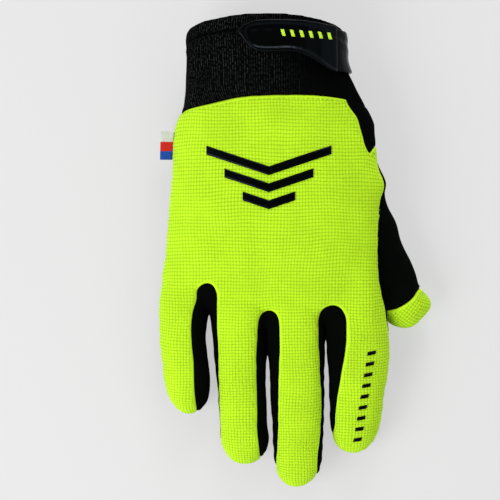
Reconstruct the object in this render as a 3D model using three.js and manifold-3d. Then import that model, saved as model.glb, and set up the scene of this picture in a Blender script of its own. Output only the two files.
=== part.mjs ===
// A right-hand riding glove that lies palm down on a table, with its fingers towards -Y and its
// thumb towards +X. Each panel is a solid of its own, with a narrow gap at each seam.
// Millimetres, +Z up. Y is 0 on the line that the fingers spring from until the last step.
import * as THREE from "three";
import { mergeVertices } from "three/addons/utils/BufferGeometryUtils.js";
import Module from "manifold-3d";

const wasm = await Module();
wasm.setup();

// Hand and wrist
const palmWidth = 107; // across the palm, from the little side to the index side
const palmLength = 100; // from the root line of the fingers to the cuff seam
const palmHeight = 32; // of the back of the hand above the table
const wristWidth = 80.5;
const wristHeight = 36;
const wristShift = -2.5; // the wrist's middle, seen from the palm's middle
const cuffLength = 40; // from the cuff seam to the rim, along the back
const cuffSeamSlope = 0.39; // how far the seam falls back towards the fingers, per mm of depth
const rimSlope = 0.47; // the same for the rim

// Cloth and seams
const wall = 1.6;
const seamGap = 0.3;
const bindingWidth = 6.5;
const bindingProud = 0.6; // of the rim's binding above the cuff
const gussetProud = 0.7; // of the wrist gusset above the back panel

// Fingers. place is the finger's middle line as a share of half the palm's width, length runs
// from the root line to the tip, and rise is the height of its middle above the table.
const fingerReach = 20; // how far a finger's sleeve runs back inside the hand
const fingers = [
  { name: "little", place: -0.822, length: 59.25, width: 24, height: 20.5, rise: 9.6 },
  { name: "ring", place: -0.299, length: 84.25, width: 25, height: 22.5, rise: 10.3 },
  { name: "middle", place: 0.243, length: 96.25, width: 26.5, height: 23.5, rise: 10.7 },
  { name: "index", place: 0.804, length: 78.75, width: 28, height: 22.5, rise: 10.3 },
];
// Along each finger, in shares of its length: mid is how far its middle wanders and wide is its
// width, in shares of its width, and up lifts it, in shares of its height. low and high are how
// much of a gusset shows from above on its little side and on its index side.
const fingerShapes = {
  little: [
    { at: -0.34, mid: 0.06, wide: 0.5, up: 0.1, low: 0, high: 0.29 },
    { at: 0.0, mid: 0.06, wide: 1.13, up: 0.1, low: 0, high: 0.29 },
    { at: 0.25, mid: -0.03, wide: 0.96, up: 0.04, low: 0, high: 0.25 },
    { at: 0.41, mid: -0.03, wide: 0.935, up: 0.0, low: 0, high: 0.25 },
    { at: 0.58, mid: 0.02, wide: 0.985, up: 0.0, low: 0, high: 0.28 },
    { at: 0.75, mid: 0.06, wide: 0.94, up: 0.0, low: 0, high: 0.3 },
    { at: 1.0, mid: 0.08, wide: 0.88, up: 0.0, low: 0, high: 0.22 },
  ],
  ring: [
    { at: -0.24, mid: 0.0, wide: 0.8, up: 0.16, low: 0.1, high: 0.2 },
    { at: 0.0, mid: 0.01, wide: 1.17, up: 0.15, low: 0.1, high: 0.2 },
    { at: 0.24, mid: 0.02, wide: 1.07, up: 0.07, low: 0.08, high: 0.19 },
    { at: 0.4, mid: 0.02, wide: 0.99, up: 0.02, low: 0.036, high: 0.17 },
    { at: 0.63, mid: 0.04, wide: 0.94, up: 0.0, low: 0.012, high: 0.15 },
    { at: 0.82, mid: 0.08, wide: 0.985, up: 0.0, low: 0.01, high: 0.2 },
    { at: 1.0, mid: 0.1, wide: 0.94, up: 0.0, low: 0.01, high: 0.12 },
  ],
  middle: [
    { at: -0.2, mid: -0.02, wide: 0.8, up: 0.25, low: 0.22, high: 0.13 },
    { at: 0.0, mid: -0.03, wide: 1.17, up: 0.24, low: 0.22, high: 0.13 },
    { at: 0.2, mid: -0.045, wide: 1.1, up: 0.15, low: 0.21, high: 0.1 },
    { at: 0.43, mid: 0.0, wide: 1.0, up: 0.03, low: 0.12, high: 0.06 },
    { at: 0.58, mid: 0.01, wide: 0.96, up: 0.0, low: 0.095, high: 0.035 },
    { at: 0.83, mid: 0.0, wide: 0.89, up: 0.0, low: 0.025, high: 0.06 },
    { at: 1.0, mid: -0.03, wide: 0.84, up: 0.0, low: 0.01, high: 0.055 },
  ],
  index: [
    { at: -0.26, mid: -0.06, wide: 0.7, up: 0.4, low: 0.3, high: 0 },
    { at: 0.0, mid: -0.09, wide: 1.06, up: 0.4, low: 0.3, high: 0 },
    { at: 0.175, mid: -0.035, wide: 1.11, up: 0.3, low: 0.35, high: 0 },
    { at: 0.34, mid: 0.01, wide: 1.12, up: 0.18, low: 0.31, high: 0 },
    { at: 0.56, mid: 0.018, wide: 0.995, up: 0.06, low: 0.145, high: 0 },
    { at: 0.79, mid: -0.035, wide: 0.88, up: 0.0, low: 0.05, high: 0 },
    { at: 1.0, mid: -0.07, wide: 0.8, up: 0.0, low: 0.01, high: 0 },
  ],
};
const tipRound = 0.5; // length of a round fingertip, as a share of the finger's width
const tipSteps = [28, 54, 76]; // degrees round the tip
// Each crotch lies between a finger and its neighbour towards the index side. top is the seam's
// highest point and foot is where its round end runs out, in shares of the palm's length.
const crotches = [
  { top: 0.058, foot: -0.02 },
  { top: -0.076, foot: -0.14 },
  { top: -0.049, foot: -0.135 },
];
const crotchSteps = [25, 45, 65, 90, 115, 135, 155]; // degrees round a crotch's arch

// Thumb: its sleeve starts inside the hand and runs out past the index side
const thumbPlace = { across: 0.757, along: 0.615 }; // root, in shares of the half palm and palm
const thumbTurn = 20.6; // degrees, outwards from the line of the fingers
const thumb = { name: "thumb", length: 83, width: 22.6, height: 20.5, rise: 9.6 };
const thumbShape = [
  { at: 0.0, mid: -0.05, wide: 1.0, up: 0.2 },
  { at: 0.3, mid: 0.02, wide: 1.06, up: 0.06 },
  { at: 0.6, mid: 0.0, wide: 1.04, up: 0.0 },
  { at: 0.8, mid: 0.01, wide: 1.03, up: 0.0 },
  { at: 1.0, mid: 0.1, wide: 1.12, up: 0.0 },
];
const capRadius = 20; // of the round seam of the thumb's tip piece
const capLength = 10.5; // of that piece, on the thumb's middle line

// The hand's sections, from the fingers to the cuff seam, at shares of the palm's length. left and
// right are shares of half its width. leftMid and rightMid are the heights of its widest lines and
// top is the height of its back, in shares of its height. sink is how far the round form would
// run below the table, and under is how square its lower index corner is.
const handShape = [
  { at: -0.11, left: 0.85, right: 0.86, leftMid: 0.3, rightMid: 0.5, top: 0.52, under: 1.3, sink: 0.2 },
  { at: -0.07, left: 0.98, right: 0.96, leftMid: 0.32, rightMid: 0.56, top: 0.7, under: 1.3, sink: 0.3 },
  { at: -0.01, left: 1.03, right: 1.0, leftMid: 0.34, rightMid: 0.63, top: 0.86, under: 1.2, sink: 0.4 },
  { at: 0.07, left: 1.023, right: 0.995, leftMid: 0.36, rightMid: 0.67, top: 0.95, under: 1.15, sink: 0.45 },
  { at: 0.18, left: 0.995, right: 0.99, leftMid: 0.37, rightMid: 0.69, top: 0.99, under: 1.15, sink: 0.45 },
  { at: 0.33, left: 0.975, right: 1.0, leftMid: 0.37, rightMid: 0.68, top: 1.01, under: 1.2, sink: 0.4 },
  { at: 0.44, left: 0.953, right: 1.02, leftMid: 0.37, rightMid: 0.66, top: 1.03, under: 1.4, sink: 0.28 },
  { at: 0.54, left: 0.935, right: 1.055, leftMid: 0.38, rightMid: 0.64, top: 1.04, under: 1.8, sink: 0.15 },
  { at: 0.63, left: 0.92, right: 1.0, leftMid: 0.39, rightMid: 0.61, top: 1.04, under: 2, sink: 0.1 },
  { at: 0.76, left: 0.918, right: 0.945, leftMid: 0.4, rightMid: 0.58, top: 1.04, under: 2.2, sink: 0.1 },
  { at: 0.86, left: 0.885, right: 0.93, leftMid: 0.43, rightMid: 0.57, top: 1.05, under: 2.3, sink: 0.08 },
  { at: 0.94, left: 0.815, right: 0.865, leftMid: 0.46, rightMid: 0.55, top: 1.08, under: 2.3, sink: 0.08 },
];
// The cuff's sections, at shares of its length, in shares of half the wrist's width.
const cuffShape = [
  { at: 0.07, left: 1.0, right: 1.1 },
  { at: 0.25, left: 1.0, right: 1.02 },
  { at: 0.5, left: 1.0, right: 0.95 },
  { at: 0.9, left: 0.99, right: 0.93 },
  { at: 1.25, left: 0.985, right: 0.925 },
];
const wristSection = { leftMid: 0.48, rightMid: 0.48, top: 1, under: 2.3, sink: 0.07 };
const backSquare = 2.3; // how square every other corner is: 2 is an ellipse
const knuckleSlant = 5; // the little side of the hand's front edge stands back this far
const slantFade = 0.3; // where the slant has faded out, as a share of the palm's length

// Height of the seam between back and palm on the two sides, along the palm's length
const sideSeam = [
  { at: -1.4, left: 7, right: 7.5 },
  { at: -0.7, left: 7, right: 9 },
  { at: -0.35, left: 7.5, right: 12.5 },
  { at: -0.1, left: 9, right: 20 },
  { at: 0.1, left: 10, right: 24 },
  { at: 0.35, left: 10.5, right: 24.5 },
  { at: 0.6, left: 10.5, right: 23 },
  { at: 0.75, left: 11, right: 17 },
  { at: 1.4, left: 12, right: 15 },
];
const gussetFoot = 0.5; // the finger gussets' lower seam, as a share of that height

// Gusset on the thumb side of the wrist: inset is how far in from the side its seam runs
const gussetShape = [
  { at: 0.709, inset: 2 },
  { at: 0.75, inset: 4.6 },
  { at: 0.82, inset: 6 },
  { at: 0.89, inset: 6.2 },
  { at: 0.955, inset: 7.6 },
  { at: 1.15, inset: 7.6 },
];

// Closure strap: its outline from the tab's point to the wrist's side, top and bottom in shares
// of its width
const strapLength = 53;
const strapWidth = 22;
const strapPlace = 0.6; // its middle, as a share of the cuff's length
const strapShape = [
  { at: 0.0, top: 0.34, bottom: 0.34 },
  { at: 0.04, top: 0.43, bottom: 0.16 },
  { at: 0.12, top: 0.52, bottom: -0.06 },
  { at: 0.18, top: 0.55, bottom: -0.14 },
  { at: 0.3, top: 0.57, bottom: -0.165 },
  { at: 0.5, top: 0.57, bottom: -0.15 },
  { at: 0.64, top: 0.56, bottom: -0.22 },
  { at: 0.8, top: 0.52, bottom: -0.38 },
  { at: 0.93, top: 0.47, bottom: -0.56 },
  { at: 1.0, top: 0.43, bottom: -0.62 },
];
const bandThick = 1.2;
const bandStart = 0.14; // the band begins this far along the strap
const bandInset = 1.2; // the band's edges lie this far inside the tab's
const bandFoot = 6; // height above the table at which the band is sewn to the side
const tabThick = 1.4;
const tabEnd = 0.93; // the tab ends this far along the strap
const beadWidth = 2;
const beadHeight = 0.9;

// Label and raised print
const labelOut = 6.4;
const labelLength = 14;
const labelThick = 1.4;
const labelPlace = 0.75; // its middle, as a share of the palm's length
const printThick = 0.9;
const printPlace = 0.43; // the lowest chevron's point, as a share of the palm's length
const printShift = -2; // its middle, seen from the palm's middle
const chevronStroke = 4.6;
const chevronPitch = 8.4;
const chevrons = [
  { half: 13, rise: 4.4 },
  { half: 22, rise: 7.4 },
  { half: 31, rise: 10.4 },
];

// Fineness of the sleeves, outside and inside
const handSides = { outer: 30, inner: 20 };
const digitSides = { outer: 15, inner: 10 };
const far = 400; // reaches past the glove in every direction

const { lerp, clamp, degToRad } = THREE.MathUtils;
const halfPalm = palmWidth / 2;

// Value of one column of a table at a place along it, on a smooth curve through its rows.
function columnAt(rows, column, at) {
  const last = rows.length - 1;
  const i = rows.findIndex((row) => row.at > at);
  if (i === 0) return rows[0][column];
  if (i < 0) return rows[last][column];
  const [a, b] = [rows[i - 1], rows[i]];
  const [before, after] = [rows[Math.max(i - 2, 0)], rows[Math.min(i + 1, last)]];
  const span = b.at - a.at;
  const slopeA = (b[column] - before[column]) / (b.at - before.at);
  const slopeB = (after[column] - a[column]) / (after.at - a.at);
  const t = (at - a.at) / span;
  const rest = 1 - t;
  const ends = rest * rest * (1 + 2 * t) * a[column] + t * t * (3 - 2 * t) * b[column];
  return ends + t * rest * span * (rest * slopeA - t * slopeB);
}

// A closed geometry as a solid for joining and cutting.
function solidOf(geometry) {
  const bare = geometry.clone();
  bare.deleteAttribute("normal");
  bare.deleteAttribute("uv");
  const merged = mergeVertices(bare, 1e-4);
  const mesh = new wasm.Mesh({
    numProp: 3,
    vertProperties: new Float32Array(merged.attributes.position.array),
    triVerts: new Uint32Array(merged.index.array),
  });
  return new wasm.Manifold(mesh);
}

function geometryOf(solid) {
  const mesh = solid.getMesh();
  const geometry = new THREE.BufferGeometry();
  geometry.setAttribute("position", new THREE.BufferAttribute(mesh.vertProperties, mesh.numProp));
  geometry.setIndex(new THREE.BufferAttribute(mesh.triVerts, 1));
  geometry.computeVertexNormals();
  return geometry;
}

// The biggest body of a cut solid: a cut can leave slivers beside it.
function mainBody(solid) {
  return solid.decompose().reduce((best, body) => (body.volume() > best.volume() ? body : best));
}

const joined = (solids) => solids.reduce((sum, solid) => sum.add(solid));

// Keeps what an expensive function made for each of its arguments.
function remembered(make) {
  const made = new Map();
  return (key) => {
    if (!made.has(key)) made.set(key, make(key));
    return made.get(key);
  };
}

// One cross-section: round above, flat where it meets the table, with sides of unequal height.
function crossSection(row, inset, sides) {
  const middle = (row.left + row.right) / 2;
  const half = (row.right - row.left) / 2 - inset;
  const centre = (row.leftMid + row.rightMid) / 2;
  const points = [];
  for (let i = 0; i < sides; i++) {
    const angle = (2 * Math.PI * (i + 0.5)) / sides;
    const [c, s] = [Math.cos(angle), Math.sin(angle)];
    const square = s < 0 && c > 0 ? row.under : backSquare;
    const across = Math.sign(c) * Math.abs(c) ** (2 / square);
    const side = lerp(row.leftMid, row.rightMid, (across + 1) / 2);
    const reach = (s > 0 ? row.top - centre : side - row.floor) - inset;
    const z = side + Math.sign(s) * reach * Math.abs(s) ** (2 / square);
    const y = row.y - row.slant * across;
    points.push(new THREE.Vector3(middle + half * across, y, Math.max(z, inset, 0)));
  }
  return points;
}

// A closed sleeve through cross-sections, from the first to the last, which lies further along
// +Y. inset moves its skin inwards, or outwards where it is negative.
function sleeve(rows, inset, sides) {
  const rings = rows.map((row) => crossSection(row, inset, sides));
  const middleOf = (ring) =>
    ring.reduce((sum, point) => sum.add(point), new THREE.Vector3()).divideScalar(sides);
  const points = [...rings.flat(), middleOf(rings[0]), middleOf(rings.at(-1))];
  const lastRing = (rings.length - 1) * sides;
  const [firstMiddle, lastMiddle] = [rings.length * sides, rings.length * sides + 1];
  const faces = [];
  for (let k = 0; k < sides; k++) {
    const next = (k + 1) % sides;
    for (let ring = 0; ring < lastRing; ring += sides) {
      const [a, b] = [ring + k, ring + next];
      faces.push(a, b, a + sides, b, b + sides, a + sides);
    }
    faces.push(firstMiddle, next, k, lastMiddle, lastRing + k, lastRing + next);
  }
  const geometry = new THREE.BufferGeometry().setFromPoints(points);
  geometry.setIndex(faces.reverse());
  return solidOf(geometry);
}

const fineness = (sides, inset) => (inset > 0 ? sides.inner : sides.outer);

function handRow(row) {
  return {
    y: row.at * palmLength,
    left: -row.left * halfPalm,
    right: row.right * halfPalm,
    leftMid: row.leftMid * palmHeight,
    rightMid: row.rightMid * palmHeight,
    top: row.top * palmHeight,
    floor: -row.sink * palmHeight,
    under: row.under,
    slant: knuckleSlant * clamp(1 - row.at / slantFade, 0, 1),
  };
}

function cuffRow(row) {
  return {
    y: palmLength + row.at * cuffLength,
    left: wristShift - (row.left * wristWidth) / 2,
    right: wristShift + (row.right * wristWidth) / 2,
    leftMid: wristSection.leftMid * wristHeight,
    rightMid: wristSection.rightMid * wristHeight,
    top: wristSection.top * wristHeight,
    floor: -wristSection.sink * wristHeight,
    under: wristSection.under,
    slant: 0,
  };
}

const handRows = [...handShape.map(handRow), ...cuffShape.map(cuffRow)];

// The hand and cuff as one closed sleeve.
const handSleeve = remembered((inset) => {
  const [front, ...others] = handRows;
  return sleeve([{ ...front, y: front.y + inset }, ...others], inset, fineness(handSides, inset));
});

// The hand's side at a height along Y: side is "left" or "right".
function handSide(side, y) {
  return columnAt(handRows.map((row) => ({ at: row.y, side: row[side] })), "side", y);
}

// Sections of a finger or thumb round its own middle line, from its tip to its root.
function digitRows(digit, shape, rootAt, inset) {
  const tipShare = (digit.width * tipRound) / digit.length;
  const tip = tipSteps.map((degrees) => ({
    at: 1 - tipShare + (tipShare - inset / digit.length) * Math.sin(degToRad(degrees)),
    round: Math.cos(degToRad(degrees)),
  }));
  const steps = 7;
  const body = Array.from({ length: steps + 1 }, (_, i) => ({
    at: lerp(rootAt, 1 - tipShare, i / steps),
    round: 1,
  }));
  const rows = [...body, ...tip].map(({ at, round }) => {
    const middle = columnAt(shape, "mid", at) * digit.width;
    const half = ((columnAt(shape, "wide", at) * digit.width) / 2 - inset) * round + inset;
    const centre = digit.rise + columnAt(shape, "up", at) * digit.height;
    const tall = (digit.height / 2 - inset) * round + inset;
    return {
      y: -at * digit.length,
      left: middle - half,
      right: middle + half,
      leftMid: centre,
      rightMid: centre,
      top: centre + tall,
      floor: centre - tall,
      under: backSquare,
      slant: 0,
    };
  });
  return rows.reverse();
}

function fingerSleeve(finger, inset) {
  const rows = digitRows(finger, fingerShapes[finger.name], -fingerReach / finger.length, inset);
  const solid = sleeve(rows, inset, fineness(digitSides, inset));
  return solid.translate(finger.place * halfPalm, 0, 0);
}

const thumbFrame = new THREE.Matrix4()
  .makeTranslation(thumbPlace.across * halfPalm, thumbPlace.along * palmLength, 0)
  .multiply(new THREE.Matrix4().makeRotationZ(degToRad(thumbTurn)));

const onThumb = (solid) => solid.transform(thumbFrame.elements);

function thumbSleeve(inset) {
  return onThumb(sleeve(digitRows(thumb, thumbShape, 0, inset), inset, fineness(digitSides, inset)));
}

// A plan outline as a prism that reaches through the whole glove.
function prism(outline) {
  const shape = outline instanceof THREE.Shape ? outline : new THREE.Shape(outline);
  const settings = { depth: 2 * far, bevelEnabled: false, curveSegments: 12 };
  return solidOf(new THREE.ExtrudeGeometry(shape, settings).translate(0, 0, -far));
}

const point = (x, y) => new THREE.Vector2(x, y);

// A cut across the wrist: its place on the back, and how far it falls back per mm of depth.
function cutAcross(y, slope) {
  const normal = new THREE.Vector3(0, 1, -slope).normalize();
  return { normal, reach: normal.dot(new THREE.Vector3(0, y, wristHeight)) };
}

const shifted = (cut, by) => ({ ...cut, reach: cut.reach + by });
const beyond = (solid, cut) => solid.trimByPlane(cut.normal.toArray(), cut.reach);
const before = (solid, cut) =>
  solid.trimByPlane(cut.normal.clone().negate().toArray(), -cut.reach);
const higherThan = (solid, z) => solid.trimByPlane([0, 0, 1], z);

// Everything above the side seam's height times a share, plus a lift.
function aboveSeam(share, lift) {
  const depth = 2.8 * palmLength; // of the block, from the cuff to past the fingertips
  const block = new THREE.BoxGeometry(2 * palmWidth, depth, far, 4, 20, 1);
  block.translate(0, 0, far / 2);
  const position = block.attributes.position;
  for (let i = 0; i < position.count; i++) {
    if (position.getZ(i) > far / 2) continue;
    const at = position.getY(i) / palmLength;
    const across = clamp(position.getX(i) / palmWidth + 0.5, 0, 1);
    const height = lerp(columnAt(sideSeam, "left", at), columnAt(sideSeam, "right", at), across);
    position.setZ(i, height * share + lift);
  }
  return solidOf(block);
}

// Plan points of a gusset's seam along one side of a finger, from the crotch's foot to the tip.
function gussetLine(finger, side, foot, grow) {
  const shape = fingerShapes[finger.name];
  const steps = 9;
  const end = -finger.length - finger.width / 2;
  return Array.from({ length: steps + 1 }, (_, i) => {
    const y = lerp(foot, end, i / steps);
    const at = Math.min(-y / finger.length, 1);
    const show = columnAt(shape, side < 0 ? "low" : "high", at);
    const edge = columnAt(shape, "mid", at) + side * (columnAt(shape, "wide", at) / 2 - show);
    return point(finger.place * halfPalm + edge * finger.width - side * grow, y);
  });
}

// Plan outline of a finger gusset: an arch at the crotch, and the seams along both fingers.
const crotchZone = (grow) => (crotch, i) => {
  const foot = crotch.foot * palmLength;
  const left = gussetLine(fingers[i], 1, foot, grow);
  const right = gussetLine(fingers[i + 1], -1, foot, grow);
  const middle = (left[0].x + right[0].x) / 2;
  const half = (right[0].x - left[0].x) / 2;
  const rise = crotch.top * palmLength + grow - foot;
  const arch = crotchSteps.map((degrees) => {
    const angle = degToRad(degrees);
    return point(middle - half * Math.cos(angle), foot + rise * Math.sin(angle));
  });
  return prism([...left.reverse(), ...arch, ...right]);
};

// Plan outline of the wrist gusset, shrunk or grown across its seam.
function wristGussetZone(grow) {
  const seam = gussetShape.map(({ at, inset }) => {
    const y = at * palmLength;
    return point(handSide("right", y) - inset - grow, y);
  });
  const tipY = gussetShape[0].at * palmLength - grow;
  const tip = point(handSide("right", tipY) + gussetProud, tipY);
  return prism([tip, point(palmWidth, tipY), point(palmWidth, seam.at(-1).y), ...seam.reverse()]);
}

// The seam that rounds the thumb's tip piece, as everything on the tip's side of it.
function capZone(grow) {
  const centre = capLength + capRadius - thumb.length;
  const radius = capRadius - grow;
  const shape = new THREE.Shape();
  shape.moveTo(-far, centre);
  shape.lineTo(-radius, centre);
  shape.absarc(0, centre, radius, Math.PI, 2 * Math.PI, false);
  shape.lineTo(far, centre);
  shape.lineTo(far, -far);
  shape.lineTo(-far, -far);
  return onThumb(prism(shape));
}

// A layer that lies on the hand, between two distances from it, inside a plan outline.
function layer(zone, from, to) {
  return handSleeve(-to).intersect(zone).subtract(handSleeve(-from));
}

// Plan outline of the strap between two places along it, with its edges moved inwards.
function strapZone(from, to, inset) {
  const y = palmLength + strapPlace * cuffLength;
  const end = handSide("right", y);
  const steps = 16;
  const places = Array.from({ length: steps + 1 }, (_, i) => lerp(from, to, i / steps));
  const edge = (column, sign) => (at) => {
    const x = end - (1 - at) * strapLength + (at === from ? inset : 0);
    return point(x, y + columnAt(strapShape, column, at) * strapWidth - sign * inset);
  };
  const upper = places.map(edge("top", 1));
  const lower = places.map(edge("bottom", -1));
  return prism([...lower, ...upper.reverse()]);
}

const finish = (color, roughness) =>
  new THREE.MeshStandardMaterial({ color, roughness, metalness: 0 });
const limeFabric = finish("#bdf02b", 0.75);
const blackSuede = finish("#0c0d0d", 0.9);
const blackStretch = finish("#101213", 0.8);
const blackKnit = finish("#15191a", 0.85);
const blackRubber = finish("#0a0c10", 0.35);
const wovenLabel = finish("#c8202a", 0.7);

const glove = new THREE.Group();
function add(name, solid, material) {
  const mesh = new THREE.Mesh(geometryOf(mainBody(solid)), material);
  mesh.name = name;
  glove.add(mesh);
}

// The skin: the hand and four fingers as one hollow body, open at the rim and at the thumb.
const fingersAnd = (hand, inset) => joined([hand, ...fingers.map((f) => fingerSleeve(f, inset))]);
const hollow = fingersAnd(handSleeve(wall), wall).add(thumbSleeve(wall));
const skin = fingersAnd(handSleeve(0), 0).subtract(hollow);

const cuffSeam = cutAcross(palmLength, cuffSeamSlope);
const rim = cutAcross(palmLength + cuffLength, rimSlope);
const bindingSeam = shifted(rim, -bindingWidth);
const hand = before(skin, cuffSeam);

function addHand() {
  const wideZones = joined(crotches.map(crotchZone(seamGap)));
  const back = hand.intersect(aboveSeam(1, seamGap)).subtract(wideZones);
  add("back_panel", back.subtract(wristGussetZone(seamGap)), limeFabric);
  const gussets = wideZones.intersect(aboveSeam(gussetFoot, 0));
  add("palm_panel", hand.subtract(aboveSeam(1, 0)).subtract(gussets), blackSuede);
  const walls = hand.intersect(aboveSeam(gussetFoot, seamGap));
  crotches.map(crotchZone(0)).forEach((zone, i) => {
    add(`gusset_${fingers[i].name}_${fingers[i + 1].name}`, walls.intersect(zone), blackStretch);
  });
}

function addThumb() {
  const around = fingersAnd(handSleeve(-seamGap), -seamGap);
  const sides = thumbSleeve(0).subtract(hollow).subtract(around);
  add("thumb_panel", sides.subtract(capZone(seamGap)), blackSuede);
  add("thumb_tip", sides.intersect(capZone(0)), limeFabric);
}

function addWrist() {
  const gusset = handSleeve(-gussetProud).intersect(wristGussetZone(0)).subtract(hollow);
  add("wrist_gusset", before(gusset.intersect(aboveSeam(1, seamGap)), cuffSeam), blackStretch);
  const tube = beyond(skin, shifted(cuffSeam, seamGap));
  add("cuff", before(tube, shifted(bindingSeam, -seamGap)), blackKnit);
  const proud = handSleeve(-bindingProud).subtract(hollow);
  add("cuff_binding", before(beyond(proud, bindingSeam), rim), blackStretch);
}

function addStrap() {
  const bandUnder = bindingProud + seamGap;
  const bandTop = bandUnder + bandThick;
  const band = layer(strapZone(bandStart, 1 + strapWidth / strapLength, bandInset), bandUnder, bandTop);
  add("strap_band", higherThan(band, bandFoot), blackStretch);
  const tabUnder = bandTop + seamGap;
  const tabTop = tabUnder + tabThick;
  const outline = strapZone(0, tabEnd, 0);
  const plate = layer(outline, tabUnder, tabTop);
  const edge = outline.subtract(strapZone(beadWidth / strapLength, tabEnd, beadWidth));
  const bead = layer(edge, tabUnder, tabTop + beadHeight);
  add("strap_tab", higherThan(plate.add(bead), wristHeight / 2), blackRubber);
}

function addLabel() {
  const y = labelPlace * palmLength;
  const side = -handSide("left", y) + labelOut;
  const round = labelThick / 2;
  const shape = new THREE.Shape();
  shape.moveTo(0, -round);
  shape.lineTo(0, round);
  shape.lineTo(round - side, round);
  shape.absarc(round - side, 0, round, Math.PI / 2, 1.5 * Math.PI, false);
  const settings = { depth: labelLength, bevelEnabled: false, curveSegments: 8 };
  const ribbon = new THREE.ExtrudeGeometry(shape, settings).rotateX(Math.PI / 2);
  ribbon.translate(0, y + labelLength / 2, columnAt(sideSeam, "left", labelPlace));
  add("side_label", solidOf(ribbon).subtract(handSleeve(-seamGap)), wovenLabel);
}

function addPrint() {
  chevrons.forEach(({ half, rise }, i) => {
    const y = printPlace * palmLength + i * chevronPitch;
    const arm = (side, lift) => point(printShift + side * half, y + rise + lift);
    const tip = (lift) => point(printShift, y + lift);
    const outline = [arm(-1, 0), tip(0), arm(1, 0), arm(1, chevronStroke)];
    outline.push(tip(chevronStroke), arm(-1, chevronStroke));
    const raised = layer(prism(outline), seamGap, seamGap + printThick);
    add(`print_chevron_${i + 1}`, higherThan(raised, palmHeight / 2), blackRubber);
  });
}

addHand();
addThumb();
addWrist();
addStrap();
addLabel();
addPrint();

// The origin is under the middle of the glove's box.
const box = new THREE.Box3().setFromObject(glove);
const boxMiddle = box.getCenter(new THREE.Vector3());
glove.position.set(-boxMiddle.x, -boxMiddle.y, -box.min.z);

export default glove;
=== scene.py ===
"""A motocross glove, dressed for the camera over its CAD frame. Lengths are in metres."""
import functools
import math

import bmesh
import bpy
import numpy as np
from bpy.props import FloatProperty, FloatVectorProperty, IntProperty, PointerProperty
from mathutils import Matrix, Vector, noise
from mathutils.bvhtree import BVHTree
from mathutils.kdtree import KDTree


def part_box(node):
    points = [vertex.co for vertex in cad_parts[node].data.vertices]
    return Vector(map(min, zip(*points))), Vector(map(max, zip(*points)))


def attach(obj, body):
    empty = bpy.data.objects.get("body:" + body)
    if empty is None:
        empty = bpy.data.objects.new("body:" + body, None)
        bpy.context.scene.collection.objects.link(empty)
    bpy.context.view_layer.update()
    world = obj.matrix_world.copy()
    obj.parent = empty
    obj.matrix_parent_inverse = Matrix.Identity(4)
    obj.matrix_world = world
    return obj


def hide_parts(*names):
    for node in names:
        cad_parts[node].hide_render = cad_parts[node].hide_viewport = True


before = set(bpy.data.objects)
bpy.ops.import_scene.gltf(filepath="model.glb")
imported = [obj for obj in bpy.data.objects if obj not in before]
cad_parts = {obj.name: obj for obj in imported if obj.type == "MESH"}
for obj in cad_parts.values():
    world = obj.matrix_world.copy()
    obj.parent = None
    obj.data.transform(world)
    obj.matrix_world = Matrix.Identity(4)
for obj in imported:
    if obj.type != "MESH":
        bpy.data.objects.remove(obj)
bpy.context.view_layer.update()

bl_info = {
    "name": "Motocross glove",
    "version": (1, 0, 0),
    "blender": (4, 5, 0),
    "location": "3D View > Sidebar > Glove",
    "description": "Builds the panels, cuff, strap and trim of a riding glove over its solids",
    "category": "Object",
}

MM = 0.001
BODY = "root"

# Solids that make up the skin. Each becomes one panel of cloth.
FINGER_GUSSETS = ("gusset_little_ring", "gusset_ring_middle", "gusset_middle_index")
OPEN_ENDS = ("cuff", "cuff_binding")  # their inside shows through the cuff's mouth
SKIN = (
    "palm_panel", "back_panel", "thumb_tip", "thumb_panel", *FINGER_GUSSETS, "wrist_gusset",
    *OPEN_ENDS,
)
WALL_SPARE = 0.8 * MM  # how much deeper the hidden inner walls are put
# The palm's wall is thinnest here, so a patch inside it keeps the skin whole
PATCH_MIDDLE = (16.7 * MM, -12.5 * MM, 2.45 * MM)
PATCH_SIZE = (6 * MM, 28 * MM, 1.2 * MM)
PATCH_TURN = math.radians(-14.8)
SEAM_REACH = 9 * MM  # distances to a panel are only measured up to this
MERGE = 0.001 * MM
OUTSIDE_SOFTENING = 3  # how often the test for the outside is averaged
SEAM_SOFTENING = 24  # how often the distances to the panels are averaged
CUT_SHARES = (0.04, 0.96)  # a cut keeps away from both ends of an edge
GUSSET_SPREAD = 0.8 * MM  # how much further each finger gusset reaches
FILLING = 0.5 * MM  # outwards, for what softening takes away
TABLE_FADE = 6 * MM  # folds and seam valleys fade out below this height
PUCKER_TURN = 2.1  # how fast puckers follow each other, against the stitches
PUCKER_HEIGHT = 0.12 * MM
PUCKERS = (2 * MM, 1.6 * MM)  # their distance from the seam, and their width

# Folds: the scale of their noise each way, and their heights in millimetres
FINGER_FOLDS = (45, 120, 60)
FINGER_FOLD_HEIGHT = 0.35
HAND_FOLDS = (38, 30, 0)
HAND_FOLD_HEIGHT = 0.45
FINGER_CALM = 0.6  # the share of the hand's folds that fades out on the fingers
FOLD_DEPTH = 1.1
FINGER_ROOTS = (-28 * MM, 5 * MM)  # place and width of the change to the fingers
# Ridges over the knuckles and the crease at the thumb: place and width
KNUCKLE_ROW = (-12 * MM, 9 * MM)
KNUCKLE_TOPS = (-8 * MM, 8 * MM)
KNUCKLE_MIDDLES = (-52 * MM, -25 * MM, 2 * MM, 32 * MM)
KNUCKLE_SIZE = 9 * MM
KNUCKLE_SHARE = 0.5  # of the row and of each top in the knuckles' height
KNUCKLE_HEIGHT = 0.3
WEB_PLACE = (50 * MM, 12 * MM)
WEB_LINE = (72 * MM, 2.4 * MM)
WEB_SLOPE = 0.8
WEB_DEPTH = 0.6

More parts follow.
